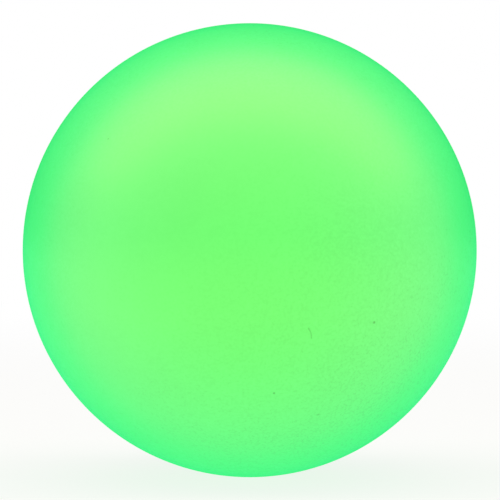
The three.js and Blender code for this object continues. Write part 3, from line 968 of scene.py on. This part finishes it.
# ------------------------------------------------------------------ more materials
def board(name, mask, trace, edge, radius, y_mid, scale=1.0):
    """Circuit board: solder mask with tracks showing under it, glass laminate at the rim."""
    k = Mat(name)
    sep = k.n("SeparateXYZ", {"Vector": k.object}).outputs
    r = k.vmath("LENGTH", k.n("CombineXYZ", {"X": sep[0], "Y": 0.0, "Z": sep[2]}).outputs[0], out="Value")
    # tracks: parallel runs broken into lengths, in both directions
    lanes = []
    for a, b in ((sep[0], sep[2]), (sep[2], sep[0])):
        lane = k.math("PINGPONG", a, 0.0009 * scale)
        width = k.remap(lane, 0.00010, 0.00016, 1.0, 0.0)
        run = k.math("SNAP", a, 0.0018 * scale)
        where = k.n("CombineXYZ", {"X": k.math("MULTIPLY", run, 900.0), "Y": k.math("MULTIPLY", b, 260.0), "Z": 0.0}).outputs[0]
        gate = k.remap(k.noise(1.0, 0.0, 0.0, vector=where), 0.50, 0.53, 0.0, 1.0)
        lanes.append(k.math("MULTIPLY", width, gate))
    tracks = k.math("MAXIMUM", *lanes)
    weave = k.math(
        "MULTIPLY", k.math("SINE", k.math("MULTIPLY", sep[0], 9000.0)), k.math("SINE", k.math("MULTIPLY", sep[2], 9000.0))
    )
    cloud = k.noise(300.0, 4.0, 0.6)
    col = k.mix(k.remap(cloud, 0.3, 0.7, 0.0, 1.0), mask, tuple(c * 0.86 for c in mask))
    col = k.mix(k.math("MULTIPLY", tracks, 0.85), col, trace)
    rim = k.remap(r, (radius - 0.06) * MM, (radius - 0.03) * MM, 0.0, 1.0)
    col = k.mix(rim, col, edge)
    h = k.math("ADD", k.math("MULTIPLY", tracks, 1.0), k.math("MULTIPLY", weave, 0.10))
    k.set(
        Base_Color=col,
        Roughness=k.mix(rim, k.remap(cloud, 0.3, 0.7, 0.28, 0.40), (0.75, 0.75, 0.75)),
        Specular_IOR_Level=0.5,
        Normal=k.bump(h, 0.35, 0.035),
    )
    return k.m


def insulation(name, light, dark):
    k = Mat(name)
    n = k.noise(500.0, 4.0, 0.6)
    scuff = k.noise(1500.0, 4.0, 0.7, distortion=0.5)
    k.set(
        Base_Color=k.mix(k.remap(n, 0.3, 0.7, 0.0, 1.0), dark, light),
        Roughness=k.remap(scuff, 0.3, 0.7, 0.34, 0.50),
        Specular_IOR_Level=0.5,
        Normal=k.bump(scuff, 0.12, 0.03),
    )
    return k.m


def dome_material(spots):
    """Frosted diffuser lit from behind: brightest over each LED."""
    k = Mat("frosted_dome")
    p = k.object
    sep = k.n("SeparateXYZ", {"Vector": p}).outputs
    flat = k.n("CombineXYZ", {"X": sep[0], "Y": 0.0, "Z": sep[2]}).outputs[0]
    near = None
    for x, z in spots:
        d = k.vmath("DISTANCE", flat, (x * MM, 0.0, z * MM), out="Value")
        near = d if near is None else k.math("SMOOTH_MIN", near, d, 0.0008)
    hot = k.n("MapRange", {"Value": near, "From Min": 0.0, "From Max": 3.6 * MM, "To Min": 1.0, "To Max": 0.0}, interpolation_type="SMOOTHERSTEP").outputs[0]
    lengthwise = k.remap(sep[1], -25.9 * MM, -9.5 * MM, 1.0, 0.30)
    cloud = k.noise(160.0, 3.0, 0.5)
    frost = k.noise(3600.0, 2.0, 0.6)
    glow = k.mix(hot, (0.10, 0.60, 0.15), (0.42, 1.0, 0.40))
    lit = k.n("VectorMath", {0: glow}, operation="SCALE")
    k.put(lit.inputs["Scale"], k.math("MULTIPLY", lengthwise, k.remap(cloud, 0.3, 0.7, 0.92, 1.06)))
    k.set(
        Base_Color=k.mix(cloud, (0.50, 0.62, 0.50), (0.58, 0.70, 0.57)),
        Roughness=k.remap(frost, 0.3, 0.7, 0.58, 0.76),
        Specular_IOR_Level=0.4,
        Emission_Color=lit.outputs[0],
        Emission_Strength=0.9,
        Normal=k.bump(frost, 0.3, 0.04),
    )
    if hasattr(k.m, "cycles"):
        k.m.cycles.emission_sampling = "NONE"
    return k.m


def lens_material():
    k = Mat("led_lens")
    n = k.noise(900.0, 3.0, 0.5)
    k.set(
        Base_Color=k.mix(n, (0.30, 0.75, 0.32), (0.40, 0.85, 0.40)),
        Roughness=k.remap(n, 0.3, 0.7, 0.08, 0.16),
        Specular_IOR_Level=0.5,
        Emission_Color=k.mix(n, (0.25, 1.0, 0.28), (0.40, 1.0, 0.38)),
        Emission_Strength=1.4,
        Normal=k.bump(n, 0.05, 0.02),
    )
    if hasattr(k.m, "cycles"):
        k.m.cycles.emission_sampling = "NONE"
    return k.m


def can_material():
    """Aluminium can of the capacitor: drawn sides, and a dark polarity mark over one edge of its top."""
    k = Mat("aluminium_can")
    sep = k.n("SeparateXYZ", {"Vector": k.object}).outputs
    mark = k.noise(1.0, 3.0, 0.6, vector=k.vmath("MULTIPLY", k.object, (2400.0, 80.0, 2400.0)))
    dark = k.math("LESS_THAN", sep[2], -7.3 * MM)
    top = k.math("GREATER_THAN", sep[1], 26.52 * MM)
    ink = k.math("MULTIPLY", dark, top)
    col = k.mix(k.remap(mark, 0.3, 0.7, 0.0, 1.0), (0.52, 0.53, 0.54), (0.66, 0.67, 0.68))
    k.set(
        Base_Color=k.mix(ink, col, (0.02, 0.02, 0.022)),
        Metallic=k.math("SUBTRACT", 1.0, ink),
        Roughness=k.remap(mark, 0.3, 0.7, 0.26, 0.40),
        Normal=k.bump(mark, 0.12, 0.02),
    )
    return k.m


cell_steel = metal("cell_steel", (0.64, 0.65, 0.66), (0.58, 0.59, 0.61), (0.20, 0.27), "x", (0.32, 0.30, 0.28), 0.14, 0.03)
aluminium_can = can_material()
resistor_body = plastic("resistor_body", (0.016, 0.017, 0.020), (0.010, 0.010, 0.012), (0.25, 0.4))
led_package = plastic("led_package", (0.80, 0.82, 0.78), (0.72, 0.74, 0.70), (0.35, 0.5))
led_lens = lens_material()
red_insulation = insulation("red_insulation", (0.46, 0.028, 0.020), (0.34, 0.018, 0.014))
black_insulation = insulation("black_insulation", (0.020, 0.020, 0.022), (0.011, 0.011, 0.012))
green_board = board("green_board", (0.012, 0.115, 0.040), (0.040, 0.230, 0.075), (0.42, 0.38, 0.17), 10.0, 21.8)
white_board = board("white_board", (0.76, 0.78, 0.76), (0.66, 0.68, 0.65), (0.50, 0.47, 0.33), 10.6, -11.0, 1.4)

# ------------------------------------------------------------------ battery holder
holder = lathe(
    "holder",
    rounded(
        [
            (0.0, HOLDER_Y0),
            (10.6, HOLDER_Y0, 0.25),
            (10.6, -9.2, 0.12),
            (CORE_R, -9.2, 0.3),
            (CORE_R, HOLDER_Y1, 0.4),
            (0.0, HOLDER_Y1),
        ],
        3,
    ),
    128,
)
cuts = [
    box_mesh("cut", -CELL_R - 0.5, 20, BAY_Y0, BAY_Y1, -BAY_Z, BAY_Z),
    box_mesh("cut", -20, 20, BAY_Y0, BAY_Y1, PLATE_Z, 20),
    box_mesh("cut", -20, 20, BAY_Y0, BAY_Y1, -20, -PLATE_Z),
    lathe("cut", [(0, -10), (6.5, -10), (6.5, 10), (0, 10)], 96, axis="Z", centre=(11.2, CELL_Y, 0)),
]
for s in (-1, 1):
    cuts += [
        cyl("cut", 2.05, BAY_Y1 - 1, BAY_Y1 + 1.4, s * SCREW_X),
        cyl("cut", 1.25, BAY_Y1, HOLDER_Y1 + 1, s * SCREW_X, segments=40),
        cyl("cut", 0.85, HOLDER_Y0 - 1, BAY_Y0 + 1, 0, s * LED_SCREW_Z, 32),
        cyl("cut", 1.0, HOLDER_Y0 - 1, BAY_Y0 + 1, LEAD_X, s * LEAD_Z, 32),
        cyl("cut", 1.0, BAY_Y1 - 1, HOLDER_Y1 + 1, LEAD_X, s * LEAD_Z, 32),
        box_mesh("cut", -1.6, 1.6, BAY_Y1 - 1, HOLDER_Y1 + 1, *((3.3, BAY_Z + 0.001) if s > 0 else (-BAY_Z - 0.001, -3.3))),
    ]
carve(holder, cuts)
tidy(holder)
bevelled(holder, 0.14, 2, 50.0, 40.0)
place(holder, "core", "battery_holder", "grey_plastic", grey_plastic)


# ------------------------------------------------------------------ coin cells
def coin_cell(name, zc, body, node):
    h = CELL_T / 2
    prof = rounded(
        [
            (0.0, -h),
            (8.35, -h, 0.22),
            (8.70, -h + 0.22, 0.10),
            (8.74, -h + 0.30),
            (9.10, -h + 0.30),
            (9.14, -h + 0.20, 0.08),
            (9.50, -h + 0.20, 0.25),
            (CELL_R, -h + 0.80, 0.35),
            (CELL_R, h, 0.38),
            (9.15, h, 0.20),
            (9.00, h - 0.05, 0.10),
            (0.0, h - 0.05),
        ],
        4,
    )
    o = lathe(name, prof, 160, axis="Z", centre=(0, CELL_Y, zc), sharp=45.0)
    place(o, body, node, "cell_steel", cell_steel, black_plastic)
    for f in o.data.polygons:
        c = f.center / MM
        r = math.hypot(c.x, c.y - CELL_Y)
        if 8.72 < r < 9.12 and c.z - zc < -h + 0.4:
            f.material_index = 1
    return o


coin_cell("coin_cell_1", CELL_T / 2 + 0.1, "cell_1", "battery_cell_1")
coin_cell("coin_cell_2", -CELL_T / 2 - 0.1, "cell_2", "battery_cell_2")


# ------------------------------------------------------------------ contacts
def contact(name, z0, z1, towards, node):
    outline = [
        (-2.6, -3.0), (-0.6, -3.0), (-0.6, 6.0), (0.6, 6.0), (0.6, -3.0), (2.6, -3.0), (2.6, 10.6), (1.2, 12.0),
        (1.2, 20.9), (-1.2, 20.9), (-1.2, 12.0), (-2.6, 10.6),
    ]
    o = prism(name, outline, z0, z1)
    bevelled(o, 0.30, 3, 60.0)
    face = z0 if towards < 0 else z1
    lumps = []
    for x in (-1.6, 1.6):
        lumps.append(
            lathe("lump", rounded([(0, -0.24), (0.35, -0.215), (0.62, -0.13), (0.78, 0.0), (0.78, 0.12), (0, 0.12)]), 32, axis="Z")
        )
        for v in lumps[-1].data.vertices:
            v.co = Vector((v.co.x + x * MM, v.co.y - 1.7 * MM, face * MM + (v.co.z if towards < 0 else -v.co.z)))
        bm = bmesh.new()
        bm.from_mesh(lumps[-1].data)
        outward(bm)
        bm.to_mesh(lumps[-1].data)
        bm.free()
    carve(o, lumps, "UNION")
    finish_mesh(o.data, 40.0)
    return place(o, "core", node, "nickel", nickel)


contact("upper_contact", 3.6, 3.9, -1, "positive_contact")
contact("lower_contact", -3.9, -3.6, 1, "negative_contact")


# ------------------------------------------------------------------ leads
def lead(name, sz, bow, node, skin):
    pts = [
        (LEAD_X, 20.1, sz * LEAD_Z),
        (LEAD_X, 14.6, sz * LEAD_Z),
        (LEAD_X + 0.3, 8, sz * (LEAD_Z + bow)),
        (LEAD_X + 0.4, -1, sz * (LEAD_Z + bow * 0.6)),
        (LEAD_X, -8.6, sz * LEAD_Z),
        (LEAD_X, -9.5, sz * LEAD_Z),
    ]
    sleeve = tube("sleeve", spline(pts), 0.58, 24)
    parts = [(sleeve, skin)]
    for y0, y1 in ((20.0, 21.15), (-9.4, -10.35)):
        s = 1 if y1 > y0 else -1
        joint_blob = rounded(
            [(0.0, y0), (0.27, y0), (0.27, y1 - s * 0.75), (0.36, y1 - s * 0.5), (0.62, y1 - s * 0.16), (0.85, y1), (0.0, y1)], 3
        )
        parts.append((lathe("wire_end", joint_blob, 24, centre=(LEAD_X, 0, sz * LEAD_Z), sharp=50), solder))
    o = join(name, parts)
    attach(o, "core")
    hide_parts(node)
    return o


lead("lead_red", 1, 0.5, "red_lead", red_insulation)
lead("lead_black", -1, 0.7, "black_lead", black_insulation)

# ------------------------------------------------------------------ driver board and what stands on it
BOARD_Y0, BOARD_Y1 = 21.2, 22.4
pcb = lathe("driver_pcb", rounded([(0, BOARD_Y0), (10.0, BOARD_Y0, 0.08), (10.0, BOARD_Y1, 0.08), (0, BOARD_Y1)], 2), 128)
carve(pcb, [cyl("cut", 1.25, BOARD_Y0 - 1, BOARD_Y1 + 1, s * SCREW_X) for s in (-1, 1)])
finish_mesh(pcb.data, 40.0)
place(pcb, "core", "driver_board", "green_board", green_board)

TOP = BOARD_Y1 + 0.3
chip_body = box_mesh("chip", -2.5, 2.5, TOP + 0.25, TOP + 1.6, 4.8, 7.8)
carve(chip_body, [cyl("cut", 0.32, TOP + 1.54, TOP + 2, -1.9, 5.4, 24)])
bevelled(chip_body, 0.10, 2, 50.0)
chip_parts = [(chip_body, black_plastic)]
for i in range(4):
    for s in (-1, 1):
        x = -1.9 + i * 1.27
        side = [
            (TOP + 0.72, 1.42), (TOP + 0.72, 1.78), (TOP + 0.62, 1.92), (TOP + 0.20, 2.0), (TOP + 0.16, 2.3), (TOP, 2.3), (TOP, 1.90),
            (TOP + 0.08, 1.80), (TOP + 0.50, 1.72), (TOP + 0.54, 1.42),
        ]
        leg = prism("leg", [(y, 6.3 + s * z) for y, z in side], x - 0.2, x + 0.2, "x")
        bevelled(leg, 0.03, 1, 30.0)
        chip_parts.append((leg, solder))
chip = join("chip_assembly", chip_parts)
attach(chip, "core")
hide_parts("controller_chip")

can = lathe(
    "capacitor_can",
    rounded(
        [
            (0.0, TOP), (2.0, TOP, 0.15), (2.0, TOP + 0.95, 0.12), (1.84, TOP + 1.2, 0.12), (2.0, TOP + 1.45, 0.12),
            (2.0, TOP + 3.9, 0.28), (0.0, TOP + 3.9),
        ],
        4,
    ),
    64,
    centre=(0, 0, -6.3),
)
place(can, "core", "capacitor", "aluminium_can", aluminium_can)

for i, x in enumerate((4.7, -4.7)):
    body = box_mesh("r", x - 0.76, x + 0.76, TOP + 0.03, TOP + 0.56, 5.4 - 1.08, 5.4 + 1.08)
    bevelled(body, 0.05, 2)
    parts = [(body, resistor_body)]
    for s in (-1, 1):
        a, b = sorted((5.4 + s * 1.10, 5.4 + s * 1.6))
        end = box_mesh("e", x - 0.8, x + 0.8, TOP, TOP + 0.6, a, b)
        bevelled(end, 0.07, 2)
        parts.append((end, solder))
    o = join("chip_resistor_%d" % (i + 1), parts)
    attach(o, "core")
    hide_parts("resistor_%d" % (i + 1))

for i, s in enumerate((1, -1)):
    so = cyl("spacer_%d" % (i + 1), 2.0, HOLDER_Y1 + 0.3, BOARD_Y0 - 0.3, s * SCREW_X, 0, 64, 0.22, 1.25, 0.15)
    place(so, "core", "standoff_%d" % (i + 1), "brass", brass)
    long_screw = screw("long_screw_%d" % (i + 1), 13.1, 14.1, 27.0, 1.75, 0.95, 0.5, 1.1, 0.22, 0.5, 0.6, s * SCREW_X)
    place(long_screw, "core", "core_screw_%d" % (i + 1), "zinc_steel", zinc_steel)

# ------------------------------------------------------------------ switch
base = box_mesh("tact_base", -3, 3, TOP, TOP + 3.2, -3, 3)
bevelled(base, 0.25, 3)
carve(base, [cyl("cut", 2.4, TOP + 0.7, TOP + 4)])
finish_mesh(base.data, 40.0)
place(base, "core", "switch_base", "black_plastic", black_plastic)
lid = box_mesh("tact_cover", -3.6, 3.6, TOP + 3.4, TOP + 3.7, -3, 3)
carve(
    lid,
    [box_mesh("flap", -3.6, -3.3, TOP + 1.3, TOP + 3.55, -1.6, 1.6), box_mesh("flap", 3.3, 3.6, TOP + 1.3, TOP + 3.55, -1.6, 1.6)],
    "UNION",
)
carve(lid, [cyl("cut", 2.05, TOP + 3, TOP + 4)])
bevelled(lid, 0.07, 2, 50.0)
rivets = [
    cyl("rivet", 0.36, TOP + 3.6, TOP + 3.82, x, z, 24, 0.12) for x in (-2.35, 2.35) for z in (-2.3, 2.3)
]
carve(lid, rivets, "UNION")
finish_mesh(lid.data, 40.0)
place(lid, "core", "switch_cover", "nickel", nickel)
tact = lathe(
    "tact_plunger",
    rounded(
        [
            (0, TOP + 1.5), (2.1, TOP + 1.5, 0.12), (2.1, TOP + 2.3, 0.12), (1.75, TOP + 2.3, 0.08), (1.75, TOP + 4.2, 0.12),
            (1.55, TOP + 4.4, 0.15), (0, TOP + 4.4),
        ],
        4,
    ),
    64,
)
place(tact, "plunger", "switch_plunger", "black_plastic", black_plastic)

# ------------------------------------------------------------------ LED board, LEDs, dome
LB0, LB1 = -11.6, -10.4
led_pcb = lathe("led_pcb", rounded([(0, LB0), (10.6, LB0, 0.08), (10.6, LB1, 0.08), (0, LB1)], 2), 128)
carve(led_pcb, [cyl("cut", 0.85, LB0 - 1, LB1 + 1, 0, s * LED_SCREW_Z, 32) for s in (-1, 1)])
finish_mesh(led_pcb.data, 40.0)
place(led_pcb, "core", "led_board", "white_board", white_board)

spots = [(0.0, 0.0)] + [(6.6 * math.cos(i * math.pi / 3), 6.6 * math.sin(i * math.pi / 3)) for i in range(6)]
for i, (x, z) in enumerate(spots):
    yb = LB0 - 0.3
    body = box_mesh("package", x - 1.62, x + 1.62, yb - 1.3, yb - 0.02, z - 1.4, z + 1.4)
    bevelled(body, 0.10, 2)
    carve(body, [lathe("cup", rounded([(0, yb - 1.5), (1.28, yb - 1.5), (1.28, yb - 1.3), (1.0, yb - 0.9, 0.1), (0, yb - 0.9)]), 40, centre=(x, 0, z))])
    finish_mesh(body.data, 35.0)
    parts = [(body, led_package)]
    dome_arc = [(1.12 * math.sin(a), yb - 1.22 - 0.73 * math.cos(a)) for a in (math.pi / 2 * j / 8 for j in range(9))]
    lens = lathe("lens", [(0.0, yb - 1.95)] + dome_arc[1:] + [(0.98, yb - 0.92), (0.0, yb - 0.92)], 40, centre=(x, 0, z), sharp=50)
    parts.append((lens, led_lens))
    for s in (-1, 1):
        for zz in (-0.7, 0.7):
            a, b = sorted((x + s * 1.52, x + s * 1.75))
            tab = box_mesh("tab", a, b, yb - 0.55, yb, z + zz - 0.35, z + zz + 0.35)
            bevelled(tab, 0.04, 1)
            parts.append((tab, solder))
    o = join("led_unit_%d" % (i + 1), parts)
    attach(o, "core")
    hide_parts("led_%d" % (i + 1))

for i, s in enumerate((1, -1)):
    o = screw("short_screw_%d" % (i + 1), -12.9, -11.9, -8.4, 1.5, 0.55, 0.25, 0.95, 0.18, 0.4, 0.45, 0, s * LED_SCREW_Z)
    place(o, "core", "led_board_screw_%d" % (i + 1), "zinc_steel", zinc_steel)

dome_profile = (
    arc(DOME_R, DOME_C_Y, -math.pi / 2, 0, 40)
    + [(DOME_R, -12.0), (DOME_R, -9.75), (DOME_R - 0.12, -9.55), (DOME_R - 0.3, DOME_Y1), (DOME_IN_R + 0.2, DOME_Y1), (DOME_IN_R, -9.7)]
    + arc(DOME_IN_R, DOME_C_Y, 0, -math.pi / 2, 36)
)
dome = lathe("diffuser", dome_profile, 128, sharp=60.0)
place(dome, "core", "diffuser_dome", "frosted_dome", dome_material(spots))


# ------------------------------------------------------------------ studio
def stage():
    bm = bmesh.new()
    radii = [0.0, 0.02, 0.04, 0.07, 0.11, 0.17, 0.26, 0.4, 0.6, 0.9, 1.4, 2.2, 4.0]
    rings = []
    for r in radii:
        if r == 0:
            rings.append([bm.verts.new((0, 0, 0))])
            continue
        rings.append([bm.verts.new((r * math.cos(2 * math.pi * k / 96), r * math.sin(2 * math.pi * k / 96), 0)) for k in range(96)])
    for a, b in zip(rings, rings[1:]):
        for k in range(96):
            q = (k + 1) % 96
            bm.faces.new((a[0], b[k], b[q]) if len(a) == 1 else (a[k], b[k], b[q], a[q]))
    for v in bm.verts:
        v.co.z = -(BALL_R + 0.02) * MM
    me = D.meshes.new("studio_floor")
    bm.to_mesh(me)
    bm.free()
    o = link("studio_floor", me)
    k = Mat("studio_floor")
    sep = k.n("SeparateXYZ", {"Vector": k.object}).outputs
    flat = k.n("CombineXYZ", {"X": sep[0], "Y": sep[1]}).outputs[0]
    r = k.vmath("LENGTH", flat, out="Value")
    far = k.n(
        "MapRange", {"Value": r, "From Min": 0.05, "From Max": 0.50, "To Min": 0.80, "To Max": 1.0}, interpolation_type="SMOOTHERSTEP"
    ).outputs[0]
    k.set(
        Base_Color=k.mix(k.noise(60.0, 4.0), (0.83, 0.83, 0.83), (0.86, 0.86, 0.86)),
        Roughness=0.75,
        Specular_IOR_Level=0.2,
        Normal=k.bump(k.noise(900.0, 2.0), 0.05, 0.05),
    )
    glow = k.n("Emission", {"Color": (1.0, 1.0, 1.0), "Strength": 1.0})
    both = k.n("MixShader", {0: far, 1: k.bsdf.outputs[0], 2: glow.outputs[0]})
    k.t.links.new(both.outputs[0], k.out.inputs["Surface"])
    paint(o, k.m)


stage()

world = D.worlds.new("studio")
scene.world = world
world.use_nodes = True
wt = world.node_tree
sky = wt.nodes["Background"]
sky.inputs["Color"].default_value = (1.0, 1.0, 1.0, 1.0)
# the backdrop is seen white; as a light it is a soft fill, stronger from above
path = wt.nodes.new("ShaderNodeLightPath")
way = wt.nodes.new("ShaderNodeTexCoord")
split = wt.nodes.new("ShaderNodeSeparateXYZ")
wt.links.new(way.outputs["Generated"], split.inputs[0])
fill = wt.nodes.new("ShaderNodeMapRange")
for name, value in (("From Min", -0.3), ("From Max", 0.9), ("To Min", 0.26), ("To Max", 0.56)):
    fill.inputs[name].default_value = value
wt.links.new(split.outputs[2], fill.inputs["Value"])
level = wt.nodes.new("ShaderNodeMix")
level.data_type = "FLOAT"
wt.links.new(path.outputs["Is Camera Ray"], level.inputs[0])
wt.links.new(fill.outputs[0], level.inputs[2])
level.inputs[3].default_value = 1.0
wt.links.new(level.outputs[0], sky.inputs["Strength"])


def softbox(name, at, size, power, colour=(1.0, 1.0, 1.0), target=(0, 0, 0), spread=math.pi):
    data = D.lights.new(name, "AREA")
    data.shape = "RECTANGLE"
    data.size, data.size_y = size
    data.energy, data.color, data.spread = power, colour, spread
    o = D.objects.new(name, data)
    scene.collection.objects.link(o)
    o.location = at
    o.rotation_mode = "QUATERNION"
    o.rotation_quaternion = (Vector(target) - Vector(at)).to_track_quat("-Z", "Y")
    return o


softbox("overhead_softbox", (0.0, 0.0, 0.50), (2.20, 0.44), 5.0, (1.0, 0.96, 0.78))

cam = D.objects.new("camera", D.cameras.new("camera"))
scene.collection.objects.link(cam)
scene.camera = cam
cam.data.sensor_width = 36.0
cam.data.lens = 200.0
cam.data.clip_start, cam.data.clip_end = 0.01, 20.0
ELEVATION = math.radians(2.0)
half = 18.0 / cam.data.lens
tan_ball = half * 227.06 / 250.0
distance = BALL_R * MM / math.sin(math.atan(tan_ball))
back = Vector((0, -math.cos(ELEVATION), math.sin(ELEVATION)))
cam.location = back * distance
cam.rotation_mode = "QUATERNION"
cam.rotation_quaternion = (-back).to_track_quat("-Z", "Y")
cam.data.shift_x, cam.data.shift_y = 0.0006, 0.0004

scene.view_settings.view_transform = "Standard"
scene.view_settings.look = "None"
scene.view_settings.exposure = 0.0
scene.view_settings.gamma = 1.0
